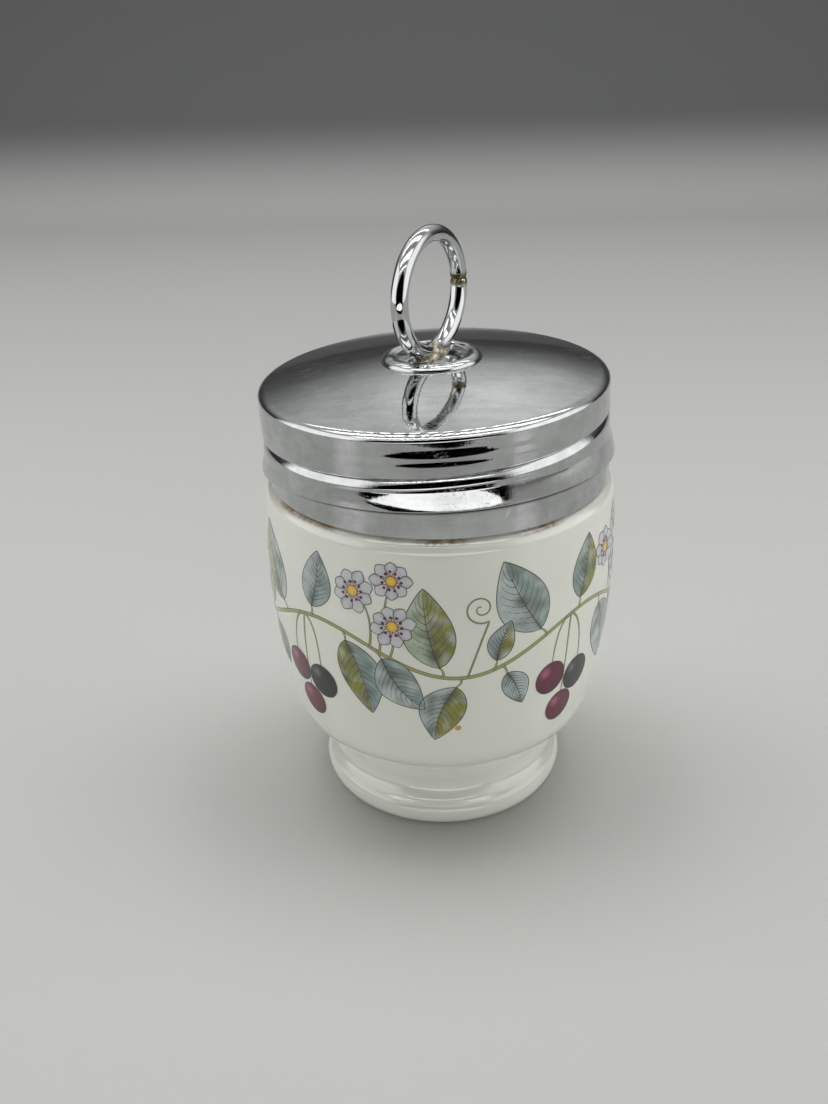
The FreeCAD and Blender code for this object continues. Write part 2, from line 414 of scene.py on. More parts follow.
class Nodes:
    """Short ways to build the nodes of a material, or of the world."""

    def __init__(self, name, family="materials", shader="Principled BSDF", place="Object"):
        self.owner = getattr(bpy.data, family).new(name)
        self.owner.use_nodes = True
        self.tree = self.owner.node_tree
        self.shader = self.tree.nodes[shader]
        self.place = self.add("TexCoord").outputs[place]

    def feed(self, socket, value):
        """Links a socket to another one, or sets it to a constant."""
        if isinstance(value, bpy.types.NodeSocket):
            self.tree.links.new(value, socket)
        else:
            socket.default_value = (*value, 1) if socket.type == "RGBA" else value

    def add(self, kind, **values):
        """A new node, with values for its properties and inputs by name."""
        node = self.tree.nodes.new("ShaderNode" + kind)
        for key, value in values.items():
            if hasattr(node, key):
                setattr(node, key, value)
            else:
                self.feed(node.inputs[key.replace("_", " ")], value)
        return node

    def set(self, **values):
        for key, value in values.items():
            self.feed(self.shader.inputs[key.replace("_", " ")], value)

    def vector(self, operation, *values, kind="VectorMath"):
        node = self.add(kind, operation=operation)
        for socket, value in zip(node.inputs, values):
            self.feed(socket, value)
        return node.outputs

    def math(self, operation, *values):
        return self.vector(operation, *values, kind="Math")["Value"]

    def product(self, first, *others):
        for other in others:
            first = self.math("MULTIPLY", first, other)
        return first

    def mix(self, share, a, b, blend="MIX"):
        """Colour a where the share is 0, b where it is 1."""
        node = self.add("Mix", data_type="RGBA", blend_type=blend)
        for index, value in ((0, share), (6, a), (7, b)):
            self.feed(node.inputs[index], value)
        return node.outputs[2]

    def noise(self, scale, detail=4, roughness=0.5, stretch=None, turn=0):
        """Clouds from 0 to 1, scaled in bumps per metre; the turn comes before the stretch."""
        source = self.place
        if turn:
            source = self.add("Mapping", Vector=source, Rotation=(0, 0, turn)).outputs[0]
        if stretch:
            source = self.add("Mapping", Vector=source, Scale=stretch).outputs[0]
        return self.add("TexNoise", Vector=source, Scale=scale, Detail=detail,
                        Roughness=roughness).outputs["Fac"]

    def ramp(self, source, low, high, to_low=0.0, to_high=1.0):
        """The source's stretch from low to high spread over another range, smoothly."""
        return self.add("MapRange", interpolation_type="SMOOTHSTEP", Value=source, From_Min=low,
                        From_Max=high, To_Min=to_low, To_Max=to_high).outputs["Result"]

    def near(self, point, reach, softness):
        """1 within reach of a point in millimetres, falling to 0 over the softness."""
        distance = self.vector("DISTANCE", self.place, Vector(point) * MM)["Value"]
        return self.ramp(distance, reach * MM, (reach + softness) * MM, 1, 0)

    def axis(self, name):
        """A place's distance along X, Y or Z, in metres."""
        return self.add("SeparateXYZ", Vector=self.place).outputs[name]

    def finished(self, relief, strength, depth, **values):
        """The material, with shallow relief of a depth in millimetres and values for its shader."""
        bump = self.add("Bump", Height=relief, Strength=strength, Distance=depth * MM)
        self.set(Normal=bump.outputs["Normal"], **values)
        return self.owner


def on_part(azimuth, radius, height):
    """A place from its azimuth off the camera's side, in degrees, its radius and its height."""
    return (*off((0, 0), radius, camera_azimuth + radians(azimuth)), height)


def glossed(n, base, roughness, ior, coat):
    """The gloss with slow waves that the bowl and its print share."""
    return n.finished(n.noise(110, 2), 0.06, 0.6, Base_Color=base, Roughness=roughness, IOR=ior,
                      Coat_Weight=coat, Coat_Roughness=0.03)


def porcelain():
    n = Nodes("glazed_porcelain")
    base = n.mix(n.ramp(n.noise(60, 3), 0.3, 0.7), glaze_light, glaze_dark)
    # A brown tide line where the cap's edge has stood wet on the ledge.
    height = n.axis("Z")
    radius = n.vector("LENGTH", n.vector("MULTIPLY", n.place, (1, 1, 0))["Vector"])["Value"]
    foot, full_foot, full_top, top = (level * MM for level in stain_levels)
    inside, outside = (reach * MM for reach in stain_edge)
    at_ledge = n.product(n.ramp(height, foot, full_foot), n.ramp(height, full_top, top, 1, 0),
                         n.ramp(radius, inside, outside, 1, 0))
    patches = n.ramp(n.noise(70), 0.52, 0.62, 0, 0.35)
    for azimuth, reach in stains:
        blot = n.near(on_part(azimuth, ledge_radius, shoulder_height), reach, stain_softness)
        patches = n.math("MAXIMUM", patches, blot)
    fine = n.ramp(n.noise(700, 5, 0.65), 0.3, 0.6, 0.25, 1)
    base = n.mix(n.product(at_ledge, patches, fine, stain_strength), base, stain_brown)
    # A tan iron speck in the glaze.
    uneven = n.math("ADD", n.near(on_part(*speck), 0.4, 0.6), n.product(n.noise(1800, 2), 0.5))
    base = n.mix(n.ramp(uneven, 0.62, 1.05), base, speck_tan)
    return glossed(n, base, n.ramp(n.noise(200), 0.2, 0.8, 0.05, 0.1), 1.53, 0.8)


def printed_glaze():
    n = Nodes("printed_glaze")
    grain = n.ramp(n.noise(3500, 2), 0.3, 0.7, 0.93, 1.05)
    tint = n.add("VertexColor", layer_name="tint").outputs["Color"]
    return glossed(n, n.mix(1, tint, grain, "MULTIPLY"), 0.09, 1.52, 0.3)


def cap_marks_and_shade(n, wear, height):
    """The wear, bump and colour of drawn sheet: upright streaks in its wall, painted shade in the
    corner under its band, and wiping marks, dark specks and uneven polish on its dome."""
    on_dome = n.ramp(n.axis("Z"), dome_edge * MM, (dome_edge + 0.8) * MM)
    on_wall = n.math("SUBTRACT", 1, on_dome)
    streaks = n.noise(1500, 2, 0.6, stretch=(1, 1, 0.03))
    height = n.product(height, n.ramp(on_dome, 0, 1, wall_calm, 1))
    height = n.math("ADD", height, n.product(streaks, on_wall, streak_strength))
    scratches = n.noise(3000, 3, 0.7, stretch=(0.08, 1, 1), turn=1.2 - camera_azimuth)
    wiped, *pitted = (n.near(on_part(azimuth, radius, dome_top - 2), reach, softness)
                      for azimuth, radius, reach, softness in (wiped_spot, *pitted_spots))
    strokes = n.product(n.ramp(scratches, 0.44, 0.72), wiped, on_dome)
    specks = n.ramp(n.noise(4200, 2, 0.6), 0.61, 0.66)
    specks = n.product(specks, n.math("MAXIMUM", *pitted), on_dome)
    wear = n.math("MAXIMUM", wear, n.product(strokes, 0.6))
    polish = n.noise(420, 4, 0.65, stretch=(1, 0.09, 1), turn=-camera_azimuth)
    shade = n.math("ADD", n.ramp(n.noise(75, 5, 0.65), 0.35, 0.65, 0.8, 1.02),
                   n.ramp(polish, 0.3, 0.7, 0, 0.14))
    colour = n.mix(1, n.mix(n.product(strokes, 0.4), plating, wiped_grey), shade, "MULTIPLY")
    colour = n.mix(n.product(specks, 0.7), colour, speck_grey)
    # Painted shade: a dark line in the corner under the band, by each point's share of it.
    crease_shade_share = n.add("VertexColor", layer_name="crease_shade_share").outputs["Color"]
    return wear, height, n.mix(crease_shade_share, colour, crease_shade_grey)


def chrome(name, burnt=None, cap=False):
    """Bright plating with faint scuffs, burnt dark round one point, or with a cap's marks and
    painted shade.
    """
    n = Nodes(name)
    scuff = n.noise(2600, 3, 0.7, stretch=(1, 0.12, 1))
    wear = n.product(n.ramp(n.noise(90, 5, 0.6), 0.42, 0.62), n.ramp(scuff, 0.45, 0.7))
    height = n.noise(420, 4, 0.6)
    colour, haze = plating, plating_haze
    if cap:
        wear, height, colour = cap_marks_and_shade(n, wear, height)
        haze = cap_haze
    rough = n.ramp(wear, 0, 1, *haze)
    if burnt:
        pits = n.ramp(n.noise(2200, 3, 0.6), 0.4, 0.56)
        patchy = n.ramp(n.noise(1500, 3), 0.3, 0.46)
        spot = n.product(n.near(burnt, ring_wire / 2 + 0.1, 0.6), patchy)
        rough = n.math("MAXIMUM", rough, n.product(spot, burnt_roughness))
        colour = n.mix(spot, plating, n.mix(pits, burnt_black, burnt_brown))
    return n.finished(height, 0.12, 0.12, Base_Color=colour, Metallic=1.0, Roughness=rough)


def rubber():
    n = Nodes("seal_rubber")
    shade = n.mix(n.noise(400), rubber_dark, rubber_light)
    return n.finished(n.noise(2500), 0.3, 0.1, Base_Color=shade, Roughness=0.62)


def solder_metal():
    n = Nodes("solder")
    cloud = n.noise(900, 5, 0.6)
    shade = n.mix(n.ramp(cloud, 0.35, 0.65), solder_dark, solder_light)
    return n.finished(n.noise(2600), 0.5, 0.2, Base_Color=shade, Metallic=0.6,
                      Roughness=n.ramp(cloud, 0.3, 0.7, 0.5, 0.22))


# ---- cup

def bowl_side(inset, top_height):
    """The points that the bowl's side runs through, moved in by the inset: its top, its middle, the
    heel's top, middle and end."""
    barrel_centre = (belly_radius - barrel_arc, belly_height)
    barrel = barrel_arc - inset
    rise = degrees(asin((top_height - belly_height) / barrel))
    fall = degrees(asin((belly_height - heel_top_height) / barrel_arc))
    heel = on_arc(barrel_centre, barrel_arc - heel_arc, -fall)
    end = underside_slope - 90
    return (*(on_arc(barrel_centre, barrel, slope) for slope in (rise, (rise - fall) / 2, -fall)),
            *(on_arc(heel, heel_arc - inset, slope) for slope in ((end - fall) / 2, end)))


def cup_profile():
    round_height = shoulder_height - shoulder_round
    top, side, heel_top, heel, heel_end = bowl_side(0, round_height)
    inner_top, _, inner_heel_top, inner_heel, inner_end = bowl_side(
        bowl_wall, shoulder_height - bore_opening_drop)
    floor = inner_end[1]
    roof = floor - bowl_wall
    rest_outer = foot_radius - foot_toe_tuck
    rest_inner = rest_outer - foot_rest_width
    shoulder = (foot_radius - foot_shoulder_tuck, foot_shoulder_height)
    waist = (foot_radius - foot_waist_tuck, foot_waist_height)
    chord = Vector(waist) - Vector(shoulder)
    flare = (Vector(shoulder) + Vector(waist)) / 2
    flare += Vector((-chord.y, chord.x)).normalized() * foot_flare_depth
    drop = (heel_end[0] - waist[0]) * tan(radians(underside_slope))
    crease = (waist[0], heel_end[1] - drop)
    ledge = top[0] - shoulder_round
    bore = neck_radius - neck_wall
    neck_top = lip_height - lip_bevel
    p = Profile((0, roof))
    p.line((rest_inner - recess_draft, roof), 6)
    p.line((rest_inner, 0), 3, rounding=1.6)
    p.line((rest_outer, 0), rounding=0.5)
    p.arc((foot_radius, foot_widest_height), shoulder, 14)
    p.arc(tuple(flare), waist, 12)
    p.line(crease, 3, rounding=0.8)
    p.line(heel_end, rounding=1.0)
    p.arc(heel, heel_top, 20)
    p.arc(side, top, 52)
    p.arc(on_arc((ledge, round_height), shoulder_round, 45), (ledge, shoulder_height), 8)
    p.line((neck_radius, shoulder_height))
    p.line((neck_radius, neck_top), 84, "neck", rounding=0.3)
    p.line((neck_radius - lip_bevel, lip_height), rounding=0.5)
    p.line((bore + lip_bevel, lip_height), rounding=0.5)
    p.line((bore, neck_top), rounding=0.5)
    p.line((bore, shoulder_height), 6, rounding=0.5)
    p.line(inner_top, 4, rounding=6.0)
    p.line(inner_heel_top, 12, rounding=6.0)
    p.arc(inner_heel, inner_end, 14)
    p.line((0, floor), 8)
    return p.finished()


def passes(angle, start, sweep):
    """Each pass of a thread over an angle: how far along it that is, in degrees, how far it has
    climbed, and how much of it is left where it runs out."""
    for turn in range(-2, 3):
        along = degrees(angle) + 360 * turn - start
        if -thread_fade < along < sweep + thread_fade:
            yield along, pitch * along / 360, smooth(-along, -sweep - thread_fade, -sweep)


def cup_shape(angle, r, z, tag):
    """The neck with its rib."""
    share = 0.0
    if tag == "neck":
        for along, climb, left in passes(angle, rib_start, rib_sweep):
            flank = smooth(abs(z - rib_start_height - climb), rib_half_crest, rib_half_root)
            share = max(share, smooth(along, -thread_fade, 0) * left * (1 - flank))
    return r + rib_height * share, z


def make_cup(finish):
    points, faces = turned(cup_profile(), 360, cup_shape)
    make_piece("glazed_cup", points, faces, "cup", finish, ["cup"])


# ---- printed garland

def blend(a, b, share):
    share = min(1.0, max(0.0, share))
    return tuple(p + (q - p) * share for p, q in zip(a, b))


class Decal:
    """A printed design on the bowl: flat shapes in thin layers, each point with its own colour.

    A place is (distance round the bowl, height), in millimetres."""

    def __init__(self):
        self.points, self.faces, self.colours = [], [], []

    def add(self, place, layer, colour):
        around, height = place
        barrel = sqrt(barrel_arc ** 2 - (height - belly_height) ** 2)
        r = belly_radius - barrel_arc + barrel + print_lift + layer * layer_lift
        angle = garland_start + around / belly_radius
        self.points.append((r * cos(angle), r * sin(angle), height))
        self.colours.append(colour)
        return len(self.points) - 1

    def sheet(self, rows, layer):
        """A grid from rows of (place, colour)."""
        grid = [[self.add(place, layer, colour) for place, colour in row] for row in rows]
        for low, high in zip(grid, grid[1:]):
            for i in range(len(low) - 1):
                self.faces.append((low[i], low[i + 1], high[i + 1], high[i]))

    def ribbon(self, line, width, colour, layer, taper=0.0):
        """A line of ink; the taper is how much narrower it is at its end."""
        rows = []
        for i, place in enumerate(line):
            before, after = line[max(0, i - 1)], line[min(len(line) - 1, i + 1)]
            along = Vector((after[0] - before[0], after[1] - before[1]))
            if along.length < 1e-9:
                continue
            half = width / 2 * (1 - taper * i / (len(line) - 1))
            side = Vector((-along.y, along.x)).normalized() * half
            rows.append([((place[0] + side.x * k, place[1] + side.y * k), colour) for k in (1, -1)])
        self.sheet(rows, layer)

    def disc(self, centre, radius, layer, colour_of, rings, sides):
        """A round dab; colour_of takes the share of the radius and the direction."""
        turns = [2 * pi * k / sides for k in range(sides + 1)]
        self.sheet([[(off(centre, radius * share, a), colour_of(share, a)) for a in turns]
                    for share in (i / rings for i in range(rings + 1))], layer)


def curve(start, control, end, steps=18):
    """A bent line between two places, pulled towards a third."""
    return [tuple(a * (1 - t) ** 2 + b * 2 * t * (1 - t) + c * t * t
                  for a, b, c in zip(start, control, end))
            for t in (i / steps for i in range(steps + 1))]


class Blade:
    """A leaf's or petal's outline: a bent middle line, and a width that swells and closes."""

    def __init__(self, base, heading, length, width, bend, swell=0.8):
        self.base, self.length, self.width = Vector(base), length, width
        self.bend, self.swell = bend, swell
        self.along = Vector((cos(heading), sin(heading)))
        self.side = Vector((-self.along.y, self.along.x))

    def at(self, s, t):
        """The place a share s along the blade and a share t across it, from -1 to 1."""
        half = self.width / 2 * sin(pi * s ** self.swell) ** 0.85 if 0 < s < 1 else 0.0
        bow = self.bend * self.length * sin(pi * s) * 0.5
        place = self.base + self.along * self.length * s + self.side * (bow + half * t)
        return (place.x, place.y)


def print_leaf(decal, blade, layer, right_tone, left_tone):
    """A smooth-edged leaf, its halves in two tones, with darker washes, veins and an inked edge."""
    along, half_across, veins = 26, 7, 8

    def dab(s, t):
        place = blade.at(s, t)
        wash = 0.85 * (1 - abs(t)) ** 2 * (1 - s) + 0.55 * max(0.0, -t) ** 1.5 * s
        wash += 0.8 * lumps(*place, 3 * layer, 2.6) - 0.05
        gleam = 0.7 * lumps(*place, 40 + 5 * layer, 2.2) + 0.15 * abs(t)
        tone = blend(right_tone if t < 0 else left_tone, leaf_gleam, gleam)
        return place, blend(tone, leaf_dark, wash)

    decal.sheet([[dab(i / along, k / half_across) for k in range(-half_across, half_across + 1)]
                 for i in range(along + 1)], layer)
    for side in (-1, 1):
        edge = [blade.at(i / along, side) for i in range(along + 1)]
        decal.ribbon(edge, edge_line, ink, layer + 1)
        for i in range(veins):
            s = 0.12 + 0.72 * i / veins
            reach = 0.86 - 0.2 * i / veins
            vein = [blade.at(s + 0.2 * q ** 1.3, side * reach * q) for q in (0, 0.25, 0.5, 0.75, 1)]
            decal.ribbon(vein, fine_line, ink, layer + 1, 0.6)
    decal.ribbon([blade.at(i / 20, 0) for i in range(20)], middle_line, ink, layer + 1, 0.6)


def print_blossom(decal, centre, radius, turn, layer):
    """A daisy of narrow pale petals round a yellow eye with a ring of crimson dots."""
    petals, dots = 8, 11
    for i in range(petals):
        heading = turn + 2 * pi * i / petals
        direction = Vector((cos(heading), sin(heading)))
        start = Vector(centre) + direction * radius * 0.2
        length = radius * (0.8 + 0.08 * sin(5 * i + turn * 7))
        petal = Blade(start, heading, length, radius * 0.6, 0.06 * sin(3 * i), 1.45)
        odd = i % 2  # each second petal lies on top and is darker at its sides

        def dab(s, t):
            grey = 0.9 * (1 - s) ** 2 + 0.7 * abs(t) ** 2 * odd + 0.25 * s
            return petal.at(s, t), blend(petal_white, petal_grey, grey)

        level = layer + odd * 2
        decal.sheet([[dab(j / 10, k / 3) for k in range(-3, 4)] for j in range(11)], level)
        for side in (-1, 1):
            edge = [petal.at(j / 14, side) for j in range(15)]
            decal.ribbon(edge, fine_line, ink, level + 1)
    decal.disc(centre, radius * 0.26, layer + 4,
                  lambda share, a: blend(yellow, orange, share ** 2), rings=3, sides=16)
    decal.ribbon(circle(centre, radius * 0.26, 18), 0.12, ink, layer + 5)
    for i in range(dots):
        a = turn + 2 * pi * (i + 0.5) / dots
        reach = radius * (0.43 + 0.05 * (i % 2))
        root, dot = off(centre, reach * 0.6, a), off(centre, reach, a)
        decal.ribbon([root, dot], 0.11, orange, layer + 5)
        decal.disc(dot, radius * 0.075, layer + 6, lambda share, a: crimson, rings=1, sides=8)


def print_cherry(decal, centre, radius, layer, colour, glint):
    """A smooth round cherry, lit from the upper left."""
    def shade(share, a):
        away = (Vector((cos(a), sin(a))) * share - cherry_lit).length
        tone = blend(glint, colour, (away / 0.45) ** 1.2)
        return blend(tone, cherry_shadow, 0.75 * max(0.0, away - 0.75))

    decal.disc(centre, radius, layer, shade, rings=8, sides=30)
    decal.ribbon(circle(centre, radius, 30), fine_line, ink, layer + 1)
    notch = [(centre[0] + radius * x, centre[1] + radius * y)
             for x, y in ((-0.3, 0.86), (0.0, 0.7), (0.3, 0.84))]
    decal.ribbon(notch, 0.16, ink, layer + 1)


def print_stem(decal, line, width, layer, taper=0.5):
    decal.ribbon(line, width + 0.24, ink, layer, taper)
    decal.ribbon(line, width, stem_green, layer + 1, taper)


def print_sprig(decal, start, draw, tones):
    """One repeat of the garland: its length of wavy stem, and what grows on it."""
    def on_stem(u):
        return (start + u, garland_middle + stem_wave * sin(2 * pi * u / sprig_length))

    def near(value, spread):
        return value + draw.uniform(-spread, spread)

    print_stem(decal, [on_stem(sprig_length * i / 60) for i in range(61)], 0.62, 0, 0.0)
    for number, (u, heading, length, width, bend) in enumerate(sprig_leaves):
        root = on_stem(u)
        angle = radians(near(heading, 5))
        base = off(root, leaf_stalk, angle)
        print_stem(decal, curve(root, (root[0] + 0.8, (root[1] + base[1]) / 2), base, 6), 0.4, 2)
        blade = Blade(base, angle, length * near(1, 0.06), width * near(1, 0.06), near(bend, 0.04))
        print_leaf(decal, blade, 4 + 2 * (number % 2), *tones[number % len(tones)])
    for u, (x, y), radius in sprig_blossoms:
        root = on_stem(u)
        x, y = start + near(x, 0.5), near(y, 0.5)
        print_stem(decal, curve(root, (root[0] + 1.5, y - 3), (x, y)), 0.3, 2)
        print_blossom(decal, (x, y), radius, near(0.4, 0.4), 8)
    for u, (x, y), radius, dark in sprig_cherries:
        root = on_stem(u)
        x, y = start + near(x, 0.4), near(y, 0.4)
        print_stem(decal, curve(root, (x + 0.3, root[1] - 1.5), (x, y + radius * 0.72)), 0.28, 2)
        print_cherry(decal, (x, y), radius, 8 + 2 * dark, *cherry_tones[dark])
    # A tendril that winds into a curl.
    eye = (start + 47.5, garland_middle + 10.5)
    curl = [off(eye, 0.3 + 0.075 * (39 - i), radians(-60 - 15 * i)) for i in range(40)]
    tendril = curve(on_stem(45), (eye[0], eye[1] - 7), curl[0])
    print_stem(decal, tendril + curl[1:], 0.2, 2)


def make_garland():
    decal = Decal()
    draw = random.Random(11)
    for i in range(sprig_count):
        print_sprig(decal, i * sprig_length, draw, leaf_tones[i % 2:] + leaf_tones[:i % 2])
    piece = make_piece("printed_garland", decal.points, decal.faces, "cup", printed_glaze())
    paint(piece, "tint", decal.colours)


# ---- lid

def cap_profile():
    centre = (0, dome_top - dome_radius)
    half_tilt = (dome_tilt + 90) / 2
    end = atan(rim_drop / rim_width * tan(radians(dome_tilt)))
    middle = (dome_across - rim_width * cos(end), dome_edge - rim_drop * sin(end))
    radius, wall_top = middle[0] + rim_width, middle[1]

    def rim(share, inset):
        angle = end * share
        return (middle[0] + (rim_width - inset) * cos(angle),
                middle[1] + (rim_drop - inset) * sin(angle))

    inner = dome_radius - cap_sheet
    p = Profile((0, dome_top - cap_sheet))
    p.arc(on_arc(centre, inner, half_tilt), on_arc(centre, inner, dome_tilt), 18)
    for i in range(6, -1, -1):
        p.line(rim(i / 6, cap_sheet))
    p.line((radius - cap_sheet, cap_foot), 70, "wall")
    p.line((radius, cap_foot), tag="wall", rounding=0.2)
    p.line((radius, wall_top), 160, "wall", rounding=0.2)
    for i in range(1, 21):
        p.line(rim(i / 20, 0))
    p.arc(on_arc(centre, dome_radius, half_tilt), (0, dome_top), 40)
    return p.finished()


def groove_bite(over):
    """The groove's share of its depth at a height over its middle line."""
    if over > 0:
        return 1 - smooth(over, groove_half_floor, groove_half_mouth)
    return min(1.0, max(0.0, 1 + (over + groove_half_floor) / groove_run)) ** groove_run_power


def azimuth_gap(azimuth, other):
    """How far an azimuth is past another one, from -180 to 180 degrees."""
    return (azimuth - other + 180) % 360 - 180


def band_foot(azimuth):
    """The lower band's swell and its foot's level, at an azimuth off the camera's side."""
    swell, level = band_swell, step_level
    for side, push, drop in squeezed_sides:
        share = exp(-((azimuth_gap(azimuth, side) / squeeze_spread) ** 2))
        swell += push * share
        level -= drop * share
    return swell, level


def cap_shape(angle, r, z, tag):
    """The wall with its rolled groove, the flared band under that, and the step to the skirt."""
    if tag != "wall":
        return r, z
    for along, climb, left in passes(angle, groove_start, groove_sweep):
        depth = groove_depth * (smooth(along, *groove_deepens) * left)
        r -= depth * groove_bite(z - (groove_start_height + climb))
    azimuth = degrees(angle - camera_azimuth)
    swell, level = band_foot(azimuth)
    above = z - level
    flare = swell * (1 - min(1.0, max(0.0, above) / band_height) ** band_curve)
    flare += band_taper * max(0.0, band_top + band_climb * sin(radians(azimuth)) - max(z, level))
    at_step = smooth(above, -step_height, 0.1)
    r += flare * at_step - skirt_tuck * (1 - at_step)
    r += upper_band_bulge * max(0.0, 1 - ((z - upper_band_middle) / upper_band_reach) ** 2)
    envelope = exp(-(((z - ripple_middle) / ripple_spread) ** 2))
    r += ripple * envelope * cos(2 * pi * (z - ripple_crest) / ripple_length)
    x, y = r * cos(angle), r * sin(angle)
    r += wall_waves * smooth(dome_edge - rim_drop - z, 0, 2.0) * lumps(x / 9, y / 9, z / 7)
    knocked = 0.1 + exp(-((azimuth_gap(azimuth, dents_azimuth) / dents_spread) ** 2))
    dents = dent_depth * knocked * (1 - at_step) * max(0.0, 0.3 + lumps(x / 7, y / 7, 2.0))
    return r - dents * lumps(x / dent_size, y / dent_size, z / 2.0) ** 2, z


def leaning(points, foot=cap_foot, lean=lid_cant, rise=cant_height, slide=lid_slide,
            lift=lid_lift):
    """Points that lean about a foot's height, to the left as the camera sees it; the lean sets in
    over a rise."""
    out = []
    for x, y, z in points:
        share = smooth(z, foot, foot + rise)
        cant = lean * share
        side, up = x * camera_right.x + y * camera_right.y, z - foot
        shift = side * (cos(cant) - 1) - up * sin(cant) - slide * share
        height = side * sin(cant) + up * cos(cant) + lift * share
        out.append((x + camera_right.x * shift, y + camera_right.y * shift, foot + height))
    return out


def make_cap(finish):
    points, faces = turned(cap_profile(), 432, cap_shape)
    piece = make_piece("chromed_cap", leaning(points), faces, "lid", finish,
                       ["lid_cap"])
    # Each point's share of the painted shade in the corner under the band.
    crease_shade_shares = []
    for x, y, z in points:
        foot = band_foot(degrees(atan2(y, x) - camera_azimuth))[1]
        crease_shade_shares.append([exp(-(((z + crease_shade_drop - foot) / crease_shade_height) ** 2))] * 3)
    paint(piece, "crease_shade_share", crease_shade_shares)


def dome_height(x, y):
    """Height of the cap's outside over a place near its axis."""
    return dome_top - dome_radius + sqrt(dome_radius ** 2 - x * x - y * y)


def with_ring_lean(points):
    """The ring's points on the leaning lid, its foot sunk in the solder by the lid's lift."""
    return leaning(leaning(points, dome_top, -ring_lean, 0.5, 0, 0), lift=0)


def make_ring(finish):
    """The upright wire ring, with a seam where its two ends butt together."""
    around, across = 300, 40
    points, faces = [], []
    for i in range(around):
        a = 2 * pi * i / around
        seam = joint_depth * exp(-(((a - joint_angle) * ring_radius / joint_width) ** 2))
        for j in range(across):
            b = 2 * pi * j / across
            place = Vector((cos(a), sin(a), 0.25 * cos(b))) * 3.5 + Vector((0, 0, 0.8 * sin(b)))
            wire = ring_wire / 2 - seam + ring_waviness * noise.noise(place)
            r = ring_radius + wire * cos(b)
            points.append((r * cos(a), wire * sin(b), ring_centre_height + r * sin(a)))
            k, m = (i + 1) % around, (j + 1) % across
            faces.append((i * across + j, k * across + j, k * across + m, i * across + m))
    make_piece("wire_ring", with_ring_lean(points), faces, "lid", finish,
               ["lifting_ring"])


def make_plate(finish):
    """The button under the ring: low, with a raised rim, and sunk round the wire's foot."""

    def shape(angle, r, z, tag):
        x, y = r * cos(angle), r * sin(angle)
        if tag != "top":
            return r, dome_height(x, y) - plate_overlap
        inset = plate_reach - r
        height = plate_lip * sqrt(max(0.0, 1 - max(0.0, 1 - inset / plate_lip_width) ** 2))
        dish = plate_lip_width + plate_dish_width
        height -= plate_dip * smooth(inset, plate_lip_width, dish)
        from_bed = hypot(max(0.0, abs(x) - bed_half_length), y)
        height -= bed_depth * (1 - smooth(from_bed, ring_wire / 2 - 0.1, ring_wire / 2 + 0.6))
        height += plate_waviness * lumps(x, y, 3.0, 2.2)
        return r, dome_height(x, y) + max(0.02, height)

    points, faces = turned(cushion(dome_top, plate_reach - 0.1, 6, plate_reach, 56), 180, shape)
    make_piece("ring_button", leaning(points), faces, "lid", finish,
               ["ring_plate"])


def make_solder(finish):
    """Lumpy solder round the foot of the ring and over the wire inside it."""

    def shape(angle, r, z, tag):
        reach = 1 / hypot(cos(angle) / solder_half_length, sin(angle) / solder_half_width)
        reach *= 1 + 0.15 * noise.noise(Vector((cos(angle), sin(angle), 2.0)) * 1.9)
        x, y = r * reach * cos(angle), r * reach * sin(angle)
        if tag == "top":
            lump = 0.7 * lumps(x, y, 9.0, 1.6) + 0.4 * lumps(x, y, 4.0, 0.6)
            middle = solder_middle_rise * exp(-((x / solder_middle_width) ** 2))
            z += max(0.0, 1 - r * r) ** 0.4 * (solder_edge_rise + middle + lump)
        return r * reach, z

    points, faces = turned(cushion(dome_top + 0.15, 0.97, 3, 1, 36), 144, shape)
    make_piece("solder_fillet", leaning(points), faces, "lid", finish, ["ring_solder"])


# ---- stage

def towards(azimuth, elevation, distance):
    """A place seen from the axis at an azimuth from the camera's side, in metres."""
    rise = radians(elevation)
    return Vector(on_part(azimuth, distance * cos(rise), distance * sin(rise)))


def facing(place, target):
    """A transform at a place that looks at a target."""
    view = (target - place).to_track_quat("-Z", "Y").to_matrix().to_4x4()
    return Matrix.Translation(place) @ view


def add_sweep():
    """A pale floor that turns up, behind the object, into a darker wall; painted shade darkens the
    floor towards the back, where the light falls off.
    """
    half_width, front, back, turn, steps = 3.0, -2.5, 0.72, 0.22, 16
    bend = [pi / 2 * i / steps for i in range(1, steps + 1)]
    line = [(front, 0.0), (back, 0.0)] + [(back + turn * sin(a), turn * (1 - cos(a))) for a in bend]
    line.append(line[-1])  # there twice, it turns the normals at the wall's top, which is darker
    points = [(y, x, z) for y, z in line for x in (-half_width, half_width)]
    faces = [(i, i + 1, i + 3, i + 2) for i in range(0, len(points) - 2, 2)]
    n = Nodes("sweep_paper")
    # Painted shade: the floor darkens towards the back, where the light falls off.
    floor_with_painted_falloff = n.mix(n.ramp(n.axis("X"), 0.02, 0.42), floor_near, floor_painted_darker)
    n.set(Base_Color=n.mix(n.ramp(n.axis("Z"), 0, 0.075), floor_with_painted_falloff, wall_grey), Roughness=0.75,
          Specular_IOR_Level=0.2)
    sweep = add_mesh("studio_sweep", points, faces, n.owner)
    sweep.rotation_euler.z = camera_azimuth + pi


def add_panel(name, azimuth, elevation, distance, size, power):
    """A soft rectangular light that faces the object and that reflections leave out."""
    light = bpy.data.lights.new(name, "AREA")
    light.shape = "RECTANGLE"
    light.size, light.size_y = size
    light.energy = power
    lamp = add_object(name, light)
    target = Vector((0, 0, 0.06))
    lamp.matrix_world = facing(target + towards(azimuth, elevation, distance), target)
    lamp.visible_glossy = False


